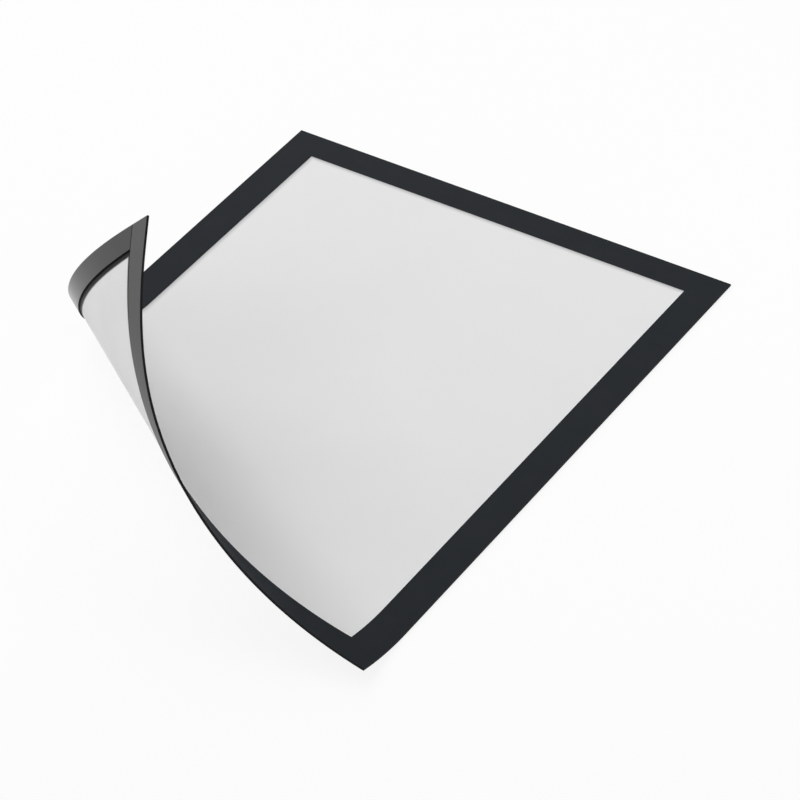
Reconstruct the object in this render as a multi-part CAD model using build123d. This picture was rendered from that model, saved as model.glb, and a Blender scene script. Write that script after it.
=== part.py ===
from build123d import *
from math import atan2, degrees, radians, sqrt, tan
import os

# Flexible magnetic picture frame with its bottom left corner peeled up.
# Millimetres. +X is right, +Y is towards the top edge and +Z is out of the front.
# The origin is the middle of the top magnet strip's back face.

# Sheet, seen from the front
sheet_width = 236.0
sheet_height = 323.0
border_width = 16.0
strip_width = 12.0
seam_gap = 0.2  # between the ends of the side strips and the top and bottom strips

# Layers, from the back to the front
strip_thickness = 0.7
tape_thickness = 0.1
film_thickness = 0.2
foil_thickness = 0.1

# Peeled corner: it rolls up a cone that touches the flat sheet along the bend line
bend_line_left = 179.0  # up the left edge from the bottom left corner
bend_line_right = 33.5  # up the right edge from the bottom right corner
curl_radius = 45.5  # of the film, where the bend line meets the left edge
curl_taper = 6.6  # half angle of the cone, in degrees
tip_length = 58.0  # from the corner back, over which the bend fades to nothing

# The curl is folded by the same angle at every fold, into narrow facets, with a hinge at every third fold
hinge_count = 7
facets_per_body = 3
film_gap = 0.1  # between the film and foil of neighbouring bodies
strip_gap = 0.4  # between their strips, whose ends close up as the bend flattens

# Edges of the sheet and heights of the layers
left = -sheet_width / 2
right = sheet_width / 2
top = strip_width / 2
bottom = top - sheet_height
tape_back = strip_thickness
film_back = tape_back + tape_thickness
foil_back = film_back + film_thickness
foil_front = foil_back + foil_thickness
film_middle = film_back + film_thickness / 2

# Bend line and apex of the cone, at the middle of the film, which keeps its length as the sheet bends
up = Vector(0, 0, 1)
bend_per_angle = 1 / tan(radians(curl_taper))
bend_start = Vector(left, bottom + bend_line_left, film_middle)
bend_end = Vector(right, bottom + bend_line_right, film_middle)
along = (bend_end - bend_start).normalized()
across = along.cross(up)
apex = bend_start - along * curl_radius * bend_per_angle

# Angles round the apex on the flat sheet: from the bend line to the corner, and of the fading tip
corner = Vector(left, bottom, film_middle) - apex
corner_angle = degrees(atan2(corner.dot(across), corner.dot(along)))
fade_angle = degrees(tip_length / corner.length)
even_angle = corner_angle - fade_angle

# Folds, whose turns add up to the whole bend
fold_count = hinge_count * facets_per_body
fold_turn = (even_angle + fade_angle / 2) * bend_per_angle / fold_count


def rectangle(x_min, x_max, y_min, y_max):
    """An upright rectangle on the flat sheet."""
    return Pos((x_min + x_max) / 2, (y_min + y_max) / 2) * Rectangle(x_max - x_min, y_max - y_min)


def fold_line(index):
    """The line on the flat sheet where a fold is made. Folds lie further apart where the bend fades."""
    angle = (index - 0.5) * fold_turn / bend_per_angle
    if angle > even_angle:
        faded = (angle - even_angle) / fade_angle
        angle = even_angle + fade_angle * (1 - sqrt(1 - 2 * faded))
    return Axis(apex, along.rotate(Axis(apex, up), -angle))


def mitre(index, tilt, gap):
    """The mitred side of a fold on the flat sheet, facing the corner and moved towards it by a gap."""
    fold = fold_line(index)
    facing = fold.direction.cross(up).rotate(fold, tilt)
    return Plane(apex + facing * gap, z_dir=facing)


def facet(outline, low, high, index, gap_before, gap_after):
    """The part of a layer between two folds, in its place on the curl. Facet 0 is the flat sheet."""
    plate = Pos(0, 0, low) * extrude(outline, high - low)
    if index > 0:
        plate = split(plate, mitre(index, fold_turn / 2, gap_before), keep=Keep.TOP)
    if index < fold_count:
        plate = split(plate, mitre(index + 1, -fold_turn / 2, -gap_after), keep=Keep.BOTTOM)
    for fold in range(index, 0, -1):
        plate = plate.rotate(fold_line(fold), -fold_turn)
    return plate


def body_layer(outline, low, high, body, gap):
    """The solids of a layer that one body carries, from left to right."""
    first = max(body * facets_per_body - facets_per_body // 2, 0)
    last = min(body * facets_per_body + facets_per_body // 2, fold_count)
    layer = Part()
    for index in range(first, last + 1):
        gap_before = gap / 2 if index == first else 0
        gap_after = gap / 2 if index == last else 0
        layer += facet(outline, low, high, index, gap_before, gap_after)
    return layer.solids().sort_by(Axis.X)


# Outlines on the flat sheet
sheet = rectangle(left, right, bottom, top)
window = rectangle(left + border_width, right - border_width, bottom + border_width, top - border_width)
border = sheet - window
side_bottom = bottom + strip_width + seam_gap
side_top = top - strip_width - seam_gap
strips = {
    "top": rectangle(left, right, top - strip_width, top),
    "bottom": rectangle(left, right, bottom, bottom + strip_width),
    "left": rectangle(left, left + strip_width, side_bottom, side_top),
    "right": rectangle(right - strip_width, right, side_bottom, side_top),
}

pieces = {}
for body in range(hinge_count + 1):
    suffix = f"_bend_{body:02d}" if body else ""
    for film in body_layer(sheet, film_back, foil_back, body, film_gap):
        pieces[f"window_film{suffix}"] = film
    foils = body_layer(border, foil_back, foil_front, body, film_gap)
    sides = ["_left", "_bottom"] if len(foils) > 1 else [""]
    for foil, side in zip(foils, sides):
        pieces[f"border_foil{side}{suffix}"] = foil
    for side, outline in strips.items():
        for strip in body_layer(outline, 0, tape_back, body, strip_gap):
            pieces[f"magnet_strip_{side}{suffix}"] = strip
        for tape in body_layer(outline, tape_back, film_back, body, strip_gap):
            pieces[f"adhesive_tape_{side}{suffix}"] = tape

os.makedirs("parts", exist_ok=True)
for name, piece in pieces.items():
    export_step(piece, f"parts/{name}.step")
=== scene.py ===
from bisect import bisect
from math import atan2, cos, radians, sin, sqrt, tan

import bmesh
import bpy
from mathutils import Matrix, Vector


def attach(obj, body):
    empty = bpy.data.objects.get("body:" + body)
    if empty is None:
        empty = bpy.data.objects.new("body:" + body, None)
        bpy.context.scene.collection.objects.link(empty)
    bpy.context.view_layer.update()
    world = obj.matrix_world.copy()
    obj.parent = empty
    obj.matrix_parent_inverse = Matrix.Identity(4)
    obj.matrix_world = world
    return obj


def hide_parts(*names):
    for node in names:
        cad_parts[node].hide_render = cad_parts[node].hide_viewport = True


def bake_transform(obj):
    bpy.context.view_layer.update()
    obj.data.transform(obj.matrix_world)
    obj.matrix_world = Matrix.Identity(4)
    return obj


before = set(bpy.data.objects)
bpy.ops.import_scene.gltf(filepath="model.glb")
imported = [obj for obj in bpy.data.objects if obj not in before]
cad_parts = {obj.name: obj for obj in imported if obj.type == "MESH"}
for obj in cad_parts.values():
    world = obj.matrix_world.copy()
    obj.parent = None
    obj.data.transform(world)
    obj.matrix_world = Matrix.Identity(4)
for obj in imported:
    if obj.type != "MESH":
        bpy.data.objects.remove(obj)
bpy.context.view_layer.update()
scene = bpy.context.scene

# Sheet and layers in metres, with the same values as the part's source
sheet_width = 0.236
sheet_height = 0.323
border_width = 0.016
strip_width = 0.012
seam_gap = 0.0002
strip_thickness = 0.0007
tape_thickness = 0.0001
film_thickness = 0.0002
foil_thickness = 0.0001

left = -sheet_width / 2
right = sheet_width / 2
top = strip_width / 2
bottom = top - sheet_height
window_left = left + border_width
window_right = right - border_width
window_bottom = bottom + border_width
window_top = top - border_width
tape_back = strip_thickness
film_back = tape_back + tape_thickness
foil_back = film_back + film_thickness
foil_front = foil_back + foil_thickness
film_middle = film_back + film_thickness / 2

# Peeled corner, rolled up a cone that touches the flat sheet along the bend line, as in the part's source
bend_line_left = 0.179  # up the left edge from the bottom left corner
bend_line_right = 0.0335  # up the right edge from the bottom right corner
curl_radius = 0.0455  # of the film, where the bend line meets the left edge
curl_taper = radians(6.6)  # half angle of the cone
tip_length = 0.058  # from the corner back, over which the bend fades to nothing
hinge_count = 7
facets_per_hinge = 3

up = Vector((0, 0, 1))
bend_per_angle = 1 / tan(curl_taper)
bend_start = Vector((left, bottom + bend_line_left, film_middle))
bend_end = Vector((right, bottom + bend_line_right, film_middle))
along = (bend_end - bend_start).normalized()
across = along.cross(up)
apex = bend_start - along * curl_radius * bend_per_angle

# Angles round the apex on the flat sheet: from the bend line to the corner, and of the fading tip
corner = Vector((left, bottom, film_middle)) - apex
corner_angle = atan2(corner.dot(across), corner.dot(along))
fade_angle = tip_length / corner.length
even_angle = corner_angle - fade_angle
hinge_turn = (even_angle + fade_angle / 2) * bend_per_angle / hinge_count

# Cuts that let a piece bend, in shares of a hinge's turn: before the bend line, and on each hinge
flat_cuts = [number / 5 for number in range(-7, 1)]
join_margin = 0.02
turn_cuts = [join_margin] + [number / 10 for number in range(1, 10)] + [1 - join_margin]
foil_shift = 0.05  # the foil's joins lie beside the film's
step_along = 0.012  # between the cuts square to the bend line, in metres
weld = 1e-7  # a point this near a cut lies on it

# Finish of the pieces, and the place of each kind of face in a piece's list of materials
strip_chamfer = 0.00018
sharp_angle = radians(30)
facing_share = 0.9  # of a normal that points out of the front or the back
front_face = 0
back_face = 1
edge_face = 2
join_face = 3  # marks the faces that close a cut, until they take the front's material


def ruling(hinges):
    """The angle round the apex on the flat sheet that takes up the turns of this many hinges."""
    angle = hinges * hinge_turn / bend_per_angle
    if angle > even_angle:
        faded = (angle - even_angle) / fade_angle
        angle = even_angle + fade_angle * (1 - sqrt(max(1 - 2 * faded, 0)))
    return angle


# Angles of the solids' folds and of the middles of the facets between them
fold_count = hinge_count * facets_per_hinge
fold_turn = hinge_turn / facets_per_hinge
solid_folds = [ruling((number + 0.5) / facets_per_hinge) for number in range(fold_count)]
middles = [(low + high) / 2 for low, high in zip(solid_folds, solid_folds[1:] + [corner_angle])]

# Each fold is spread as fine folds to the middles beside it, so that the film touches each facet there
fine_count = 10
folds = []
turned = [Matrix.Identity(3)]
for before, fold, after in zip([0] + middles, solid_folds, middles):
    for start, end, other_side in [(before, fold, after - fold), (fold, after, fold - before)]:
        fine_turn = fold_turn * other_side / (after - before) / fine_count
        for number in range(fine_count):
            angle = start + (end - start) * (number + 0.5) / fine_count
            fold_line = along * cos(angle) + across * sin(angle)
            folds.append(angle)
            turned.append(turned[-1] @ Matrix.Rotation(-fine_turn, 3, fold_line))


def rectangle(x_min, x_max, y_min, y_max):
    """The corners of an upright rectangle on the flat sheet."""
    return [(x_min, y_min), (x_max, y_min), (x_max, y_max), (x_min, y_max)]


def slab(polygons, low, high):
    """A closed flat layer over polygons that share their corners."""
    shape = bmesh.new()
    corners = {}
    for corner in sum(polygons, []):
        if corner not in corners:
            corners[corner] = shape.verts.new((*corner, low))
    faces = [shape.faces.new([corners[corner] for corner in polygon]) for polygon in polygons]
    raised = bmesh.ops.extrude_face_region(shape, geom=faces)["geom"]
    raised = [part for part in raised if isinstance(part, bmesh.types.BMVert)]
    bmesh.ops.translate(shape, verts=raised, vec=(0, 0, high - low))
    bmesh.ops.recalc_face_normals(shape, faces=shape.faces)
    return shape


def cut(shape, point, normal, **sides):
    """Cuts a shape by a plane. With a side cleared, the cut is closed by faces that are marked as joins."""
    parts = shape.verts[:] + shape.edges[:] + shape.faces[:]
    made = bmesh.ops.bisect_plane(shape, geom=parts, dist=weld, plane_co=point, plane_no=normal, **sides)
    if sides:
        rim = [part for part in made["geom_cut"] if isinstance(part, bmesh.types.BMEdge)]
        for face in bmesh.ops.holes_fill(shape, edges=rim, sides=0)["faces"]:
            face.material_index = join_face


def across_ruling(hinges):
    """The direction on the flat sheet square to the line that leaves the apex at a ruling."""
    return across * cos(ruling(hinges)) - along * sin(ruling(hinges))


def rolled(point):
    """Where a point of the flat sheet lies once the corner is rolled up."""
    offset = point - apex
    angle = atan2(offset.dot(across), offset.dot(along))
    return apex + turned[bisect(folds, angle)] @ offset


def part_at(shape, hinge, last_hinge, shift):
    """The part of a flat shape that bends at one hinge, or for hinge 0 the part that stays flat."""
    part = shape.copy()
    if hinge == 0:
        cut(part, apex, across_ruling(flat_cuts[0] + shift), clear_outer=True)
        return part
    before = hinge - 1 + shift
    first, *shares = flat_cuts + turn_cuts if hinge == 1 else [0] + turn_cuts
    cut(part, apex, across_ruling(before + first), clear_inner=True)
    if hinge < last_hinge:
        cut(part, apex, across_ruling(before + 1), clear_outer=True)
    for share in shares:
        cut(part, apex, across_ruling(before + share))
    reaches = [(vert.co - apex).dot(along) for vert in part.verts]
    if reaches:
        for step in range(int(min(reaches) / step_along) + 1, int(max(reaches) / step_along) + 1):
            cut(part, apex + along * step * step_along, along)
    return part


def islands(shape):
    """The separate bodies of a shape, each as a list of faces, from left to right."""
    found = []
    placed = set()
    for first in shape.faces:
        if first in placed:
            continue
        placed.add(first)
        body = [first]
        for face in body:
            for near in [other for edge in face.edges for other in edge.link_faces]:
                if near not in placed:
                    placed.add(near)
                    body.append(near)
        found.append(body)
    return sorted(found, key=lambda body: min(vert.co.x for face in body for vert in face.verts))


def make_piece(name, faces, lengthwise, materials):
    """A rolled mesh object from faces of a flat shape. Its flat place is kept as a UV map."""
    shape = bmesh.new()
    verts = dict.fromkeys(vert for face in faces for vert in face.verts)
    for vert in verts:
        verts[vert] = shape.verts.new(vert.co)
    for face in faces:
        shape.faces.new([verts[vert] for vert in face.verts]).material_index = face.material_index
    bmesh.ops.recalc_face_normals(shape, faces=shape.faces)
    flat = shape.loops.layers.uv.new("flat")
    for face in shape.faces:
        face.smooth = True
        if face.material_index == join_face or face.normal.z > facing_share:
            face.material_index = front_face
        else:
            face.material_index = back_face if face.normal.z < -facing_share else edge_face
        for corner in face.loops:
            x, y, _ = corner.vert.co
            corner[flat].uv = (y, x) if lengthwise == "y" else (x, y)
    for vert in shape.verts:
        vert.co = rolled(vert.co)
    mesh = bpy.data.meshes.new(name)
    shape.to_mesh(mesh)
    shape.free()
    mesh.set_sharp_from_angle(angle=sharp_angle)
    for material in materials:
        mesh.materials.append(material)
    piece = bpy.data.objects.new(name, mesh)
    scene.collection.objects.link(piece)
    return piece


def carry(piece, hinge):
    """The flat part rides on the panel; each bent part has its transform baked into its mesh and is attached
    to no body.
    """
    if hinge == 0:
        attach(piece, "flat_panel")
        return
    middle = ruling(hinge - 0.5)
    outwards = turned[bisect(folds, middle)] @ across_ruling(hinge - 0.5)
    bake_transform(piece)


def make_layer(layer, shape, materials, lengthwise="x", last_hinge=hinge_count, shift=0):
    """All pieces of one layer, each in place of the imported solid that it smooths."""
    for hinge in range(last_hinge + 1):
        suffix = f"_bend_{hinge:02d}" if hinge else ""
        part = part_at(shape, hinge, last_hinge, shift)
        bodies = islands(part)
        sides = ["_left", "_bottom"] if len(bodies) > 1 else [""]
        for faces, side in zip(bodies, sides):
            solid = f"{layer}{side}{suffix}"
            # A piece has its solid's name without the first word
            piece = make_piece(solid.split("_", 1)[1], faces, lengthwise, materials)
            carry(piece, hinge)
            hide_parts(solid)
        part.free()
    shape.free()


# Sockets of a mix node that blends colours
mix_share = 0
mix_dark = 6
mix_light = 7
mix_result = 2

# Most values of a noise pattern lie in this range
noise_range = (0.3, 0.7)

# Soft edges of the film's tones, from outside the window's edge inwards; the first is the border's painted
# shadow
border_shadow_fade = (-0.0004, 0.0030)
foil_fade = (-0.0009, -0.0005)
border_fade = (-0.0019, -0.0007)

film_optics = {"Transmission_Weight": 0.08, "IOR": 1.45}
film_grain = 3200  # features per metre
white = (1, 1, 1, 1)


def add_node(tree, kind, inputs=None, **options):
    """Adds a shader node, sets its options, and fills its inputs with values or links."""
    made = tree.nodes.new(kind)
    for option, value in options.items():
        setattr(made, option, value)
    for socket, value in (inputs or {}).items():
        if isinstance(value, bpy.types.NodeSocket):
            tree.links.new(value, made.inputs[socket])
        else:
            made.inputs[socket].default_value = value
    return made


def calculate(tree, operation, first, second):
    """The result of one sum on two values or links."""
    return add_node(tree, "ShaderNodeMath", {0: first, 1: second}, operation=operation).outputs[0]


def ramp(tree, value, from_min, from_max, to_min=0, to_max=1):
    """A value moved smoothly from one range to another."""
    ranges = {"Value": value, "From Min": from_min, "From Max": from_max, "To Min": to_min, "To Max": to_max}
    return add_node(tree, "ShaderNodeMapRange", ranges, interpolation_type="SMOOTHSTEP").outputs["Result"]


def noise(tree, scale, detail, stretch=(1, 1, 1)):
    """Noise over the flat sheet, in features per metre."""
    place = add_node(tree, "ShaderNodeUVMap", uv_map="flat").outputs["UV"]
    place = add_node(tree, "ShaderNodeMapping", {"Vector": place, "Scale": stretch}).outputs["Vector"]
    wanted = {"Vector": place, "Scale": scale, "Detail": detail}
    return add_node(tree, "ShaderNodeTexNoise", wanted).outputs["Fac"]


def spread(tree, pattern, low=0, high=1):
    """A noise pattern stretched to a wanted range."""
    return ramp(tree, pattern, *noise_range, low, high)


def tinted(tree, share, dark, light):
    """A colour between a dark one and a light one, which may be a link."""
    if not isinstance(light, bpy.types.NodeSocket):
        light = (*light, 1)
    colours = {mix_share: share, mix_dark: (*dark, 1), mix_light: light}
    return add_node(tree, "ShaderNodeMix", colours, data_type="RGBA").outputs[mix_result]


def bumped(tree, height, strength, depth):
    """A surface normal with small relief, its depth in metres."""
    relief = {"Height": height, "Strength": strength, "Distance": depth}
    return add_node(tree, "ShaderNodeBump", relief).outputs["Normal"]


def inside_of(tree, x_min, x_max, y_min, y_max):
    """How far inside a rectangle of the flat sheet a point lies."""
    place = add_node(tree, "ShaderNodeUVMap", uv_map="flat").outputs["UV"]
    axes = add_node(tree, "ShaderNodeSeparateXYZ", {0: place}).outputs
    depths = []
    for axis, low, high in [(axes[0], x_min, x_max), (axes[1], y_min, y_max)]:
        above = calculate(tree, "SUBTRACT", axis, low)
        below = calculate(tree, "SUBTRACT", high, axis)
        depths.append(calculate(tree, "MINIMUM", above, below))
    return calculate(tree, "MINIMUM", *depths)


def inside_window(tree):
    """How far inside the window a point of the flat sheet lies."""
    return inside_of(tree, window_left, window_right, window_bottom, window_top)


def seen_directly(tree):
    """1 for rays that show the background itself, straight, mirrored or through the film."""
    path = add_node(tree, "ShaderNodeLightPath").outputs
    mirrored = calculate(tree, "MAXIMUM", path["Is Glossy Ray"], path["Is Transmission Ray"])
    return calculate(tree, "MAXIMUM", path["Is Camera Ray"], mirrored)


def new_material(name, **constants):
    """A material and its nodes, with constant values set on the shader's own sockets."""
    made = bpy.data.materials.new(name)
    made.use_nodes = True
    shader = made.node_tree.nodes["Principled BSDF"]
    for socket, value in constants.items():
        shader.inputs[socket.replace("_", " ")].default_value = value
    return made, made.node_tree


def feed(tree, colour, roughness, normal):
    """Links a material's patterns to its shader."""
    inputs = tree.nodes["Principled BSDF"].inputs
    tree.links.new(colour, inputs["Base Color"])
    tree.links.new(roughness, inputs["Roughness"])
    tree.links.new(normal, inputs["Normal"])


def film_front():
    """Frosted film seen from the front, with faint clouding, a fine even grain and a painted shadow of the
    border.
    """
    made, tree = new_material("frosted_film_front", Specular_IOR_Level=0.35, **film_optics)
    clouds = spread(tree, noise(tree, scale=16, detail=3))
    pale = tinted(tree, clouds, dark=(0.783, 0.785, 0.791), light=(0.797, 0.799, 0.803))
    # Painted shadow of the border: the film is painted darker along the left and top edges of the window
    # alone
    border_shadow_depth = inside_of(tree, window_left, sheet_width, -sheet_height, window_top)
    border_shadowed = tinted(tree, ramp(tree, border_shadow_depth, *border_shadow_fade), dark=(0.46, 0.462, 0.466), light=pale)
    # The film is dark under the foil
    uncovered = ramp(tree, inside_window(tree), *foil_fade)
    colour = tinted(tree, uncovered, dark=(0.015, 0.017, 0.021), light=border_shadowed)
    grain = noise(tree, scale=film_grain, detail=2)
    relief = bumped(tree, grain, strength=0.25, depth=0.00002)
    feed(tree, colour, spread(tree, grain, low=0.46, high=0.56), relief)
    return made


def film_back_side():
    """The film's back, where the dark border shows through it along the strips."""
    made, tree = new_material("frosted_film_back", Specular_IOR_Level=0.08, **film_optics)
    clouds = spread(tree, noise(tree, scale=28, detail=4))
    pale = tinted(tree, clouds, dark=(0.812, 0.814, 0.816), light=(0.849, 0.851, 0.853))
    clear = ramp(tree, inside_window(tree), *border_fade)
    colour = tinted(tree, clear, dark=(0.007, 0.008, 0.008), light=pale)
    grain = noise(tree, scale=film_grain, detail=2)
    relief = bumped(tree, grain, strength=0.25, depth=0.00002)
    feed(tree, colour, spread(tree, grain, low=0.4, high=0.5), relief)
    return made


def cut_edge(name, dark, light):
    """The slit edge of a dark layer."""
    made, tree = new_material(name, Specular_IOR_Level=0.1)
    drag = noise(tree, scale=5000, detail=3)
    relief = bumped(tree, drag, strength=0.3, depth=0.00002)
    feed(tree, tinted(tree, drag, dark, light), spread(tree, drag, low=0.5, high=0.7), relief)
    return made


def border_face():
    """Matte anthracite foil with a fine pebbled grain."""
    made, tree = new_material("anthracite_foil", Specular_IOR_Level=0.02)
    mottle = spread(tree, noise(tree, scale=60, detail=4))
    colour = tinted(tree, mottle, dark=(0.0138, 0.0166, 0.0201), light=(0.0156, 0.0184, 0.0219))
    grain = noise(tree, scale=2200, detail=3)
    relief = bumped(tree, grain, strength=0.3, depth=0.00003)
    feed(tree, colour, spread(tree, grain, low=0.48, high=0.62), relief)
    return made


def magnet_back(name, dark, light, shine, roughness):
    """Satin ferrite rubber with fine rolling lines along the strip."""
    made, tree = new_material(name, Specular_IOR_Level=shine)
    line_share = 0.55
    tone_range = (0.35, 0.65)
    lines = noise(tree, scale=1, detail=4, stretch=(30, 2600, 1))
    specks = noise(tree, scale=2600, detail=2)
    lined = calculate(tree, "MULTIPLY", lines, line_share)
    specked = calculate(tree, "MULTIPLY", specks, 1 - line_share)
    tone = calculate(tree, "ADD", lined, specked)
    colour = tinted(tree, ramp(tree, tone, *tone_range), dark, light)
    relief = bumped(tree, tone, strength=0.2, depth=0.00001)
    feed(tree, colour, ramp(tree, tone, *tone_range, *roughness), relief)
    return made


def tape_face():
    """Dull adhesive tape with a fibrous look, seen only at its edges."""
    made, tree = new_material("adhesive_tape", Specular_IOR_Level=0.1)
    fibres = noise(tree, scale=1, detail=4, stretch=(300, 1800, 1))
    colour = tinted(tree, fibres, dark=(0.006, 0.006, 0.006), light=(0.014, 0.014, 0.013))
    relief = bumped(tree, fibres, strength=0.3, depth=0.00003)
    feed(tree, colour, spread(tree, fibres, low=0.5, high=0.65), relief)
    return made


# Materials of the layers, with the strips' lines running along x or along y
film_edge = cut_edge("film_cut_edge", (0.006, 0.006, 0.007), (0.012, 0.012, 0.013))
foil_edge = cut_edge("foil_cut_edge", (0.004, 0.004, 0.005), (0.008, 0.008, 0.009))
strip_edge = cut_edge("ferrite_cut_edge", (0.003, 0.003, 0.003), (0.006, 0.006, 0.006))
foil_face = border_face()
tape = tape_face()
# One ferrite in two tones: the strips across are painted lighter as painted sheen of their rolled lines, the
# upright strips darker as painted shade
ferrite = {
    "x": magnet_back("ferrite_across_painted_sheen", (0.036, 0.037, 0.037), (0.045, 0.046, 0.046), 0.32, (0.38, 0.48)),
    "y": magnet_back("ferrite_upright_painted_shade", (0.0045, 0.006, 0.0053), (0.008, 0.0095, 0.0088), 0.28, (0.15, 0.22)),
}

# Window film and border foil
outer = rectangle(left, right, bottom, top)
inner = rectangle(window_left, window_right, window_bottom, window_top)
ring = [[outer[i], outer[(i + 1) % 4], inner[(i + 1) % 4], inner[i]] for i in range(4)]
film = slab([outer], film_back, foil_back)
make_layer("window_film", film, [film_front(), film_back_side(), film_edge])
foil = slab(ring, foil_back, foil_front)
make_layer("border_foil", foil, [foil_face, foil_face, foil_edge], shift=foil_shift)

# Magnet strips and their tapes: outline, direction and last hinge
side_bottom = bottom + strip_width + seam_gap
side_top = top - strip_width - seam_gap
strips = {
    "top": (rectangle(left, right, top - strip_width, top), "x", 0),
    "bottom": (rectangle(left, right, bottom, bottom + strip_width), "x", hinge_count),
    "left": (rectangle(left, left + strip_width, side_bottom, side_top), "y", hinge_count),
    "right": (rectangle(right - strip_width, right, side_bottom, side_top), "y", 1),
}
for side, (outline, lengthwise, last_hinge) in strips.items():
    strip = slab([outline], 0, tape_back)
    rim = [edge for edge in strip.edges if all(vert.co.z < strip_thickness / 2 for vert in edge.verts)]
    bmesh.ops.bevel(strip, geom=rim, offset=strip_chamfer, segments=1, affect="EDGES", profile=0.5)
    rubber = ferrite[lengthwise]
    make_layer(f"magnet_strip_{side}", strip, [rubber, rubber, strip_edge], lengthwise, last_hinge)
    tape_strip = slab([outline], tape_back, film_back)
    make_layer(f"adhesive_tape_{side}", tape_strip, [tape, tape, tape], lengthwise, last_hinge)

# Pale floor that keeps a soft shadow
floor_size = 12.0
floor_drop = 0.0002
floor_shadow = 0.13  # the share of the floor's tone that takes shade
floor_tone = (0.95, 0.95, 0.95, 1)
half = floor_size / 2
floor_corners = [(x, y, -floor_drop) for x, y in rectangle(-half, half, -half, half)]
floor_mesh = bpy.data.meshes.new("floor")
floor_mesh.from_pydata(floor_corners, [], [(0, 1, 2, 3)])
floor = bpy.data.objects.new("floor", floor_mesh)
scene.collection.objects.link(floor)
floor_look = {"Base_Color": floor_tone, "Roughness": 0.9, "Specular_IOR_Level": 0.0}
floor_material, floor_tree = new_material("pale_floor", **floor_look)
glow = add_node(floor_tree, "ShaderNodeEmission", {"Color": white, "Strength": 1.0}).outputs[0]
shown = calculate(floor_tree, "MULTIPLY", seen_directly(floor_tree), 1 - floor_shadow)
plain = floor_tree.nodes["Principled BSDF"].outputs[0]
mixed = add_node(floor_tree, "ShaderNodeMixShader", {0: shown, 1: plain, 2: glow}).outputs[0]
floor_tree.links.new(mixed, floor_tree.nodes["Material Output"].inputs["Surface"])
floor_mesh.materials.append(floor_material)

# Even studio light, white where the background itself shows
ambient = 0.1
world = bpy.data.worlds.new("studio")
scene.world = world
world.use_nodes = True
sky = world.node_tree.nodes["Background"]
sky.inputs["Color"].default_value = white
strength = ramp(world.node_tree, seen_directly(world.node_tree), 0, 1, ambient, 1)
world.node_tree.links.new(strength, sky.inputs["Strength"])

# Square lamps that face one point: place, size and power
lamp_aim = Vector((0, -0.15, 0.03))
lamps = {
    "key": (Vector((-2.16, -0.15, 3.09)), 3.0, 44.5),
    "back_left": (Vector((-2.31, 2.16, 1.92)), 3.0, 108.0),
    "front": (Vector((0.0, -3.39, 1.92)), 3.0, 43.5),
    "low_left": (Vector((-0.9, -0.3, 0.35)), 1.0, 1.35),
    "rear": (Vector((0.3, 0.1, 0.45)), 0.4, 0.5),
}
for name, (place, size, power) in lamps.items():
    light = bpy.data.lights.new(name, "AREA")
    light.shape = "SQUARE"
    light.size = size
    light.energy = power
    lamp = bpy.data.objects.new(name, light)
    lamp.location = place
    lamp.rotation_euler = (lamp_aim - place).to_track_quat("-Z", "Y").to_euler()
    scene.collection.objects.link(lamp)

# Camera at the photograph's viewing angle, with its sensor and lens in millimetres
camera_place = Vector((0.84771, -1.49383, 1.23529))
camera_target = Vector((0.04580, -0.16993, 0.02000))
camera_roll = radians(0.498)
camera_sensor = 36.0
camera_lens = 200.9
camera_data = bpy.data.cameras.new("camera")
camera_data.sensor_width = camera_sensor
camera_data.lens = camera_lens
camera = bpy.data.objects.new("camera", camera_data)
camera.location = camera_place
facing = (camera_target - camera_place).to_track_quat("-Z", "Y").to_matrix()
camera.rotation_euler = (facing @ Matrix.Rotation(camera_roll, 3, "Z")).to_euler()
scene.collection.objects.link(camera)
scene.camera = camera
scene.view_settings.view_transform = "Standard"
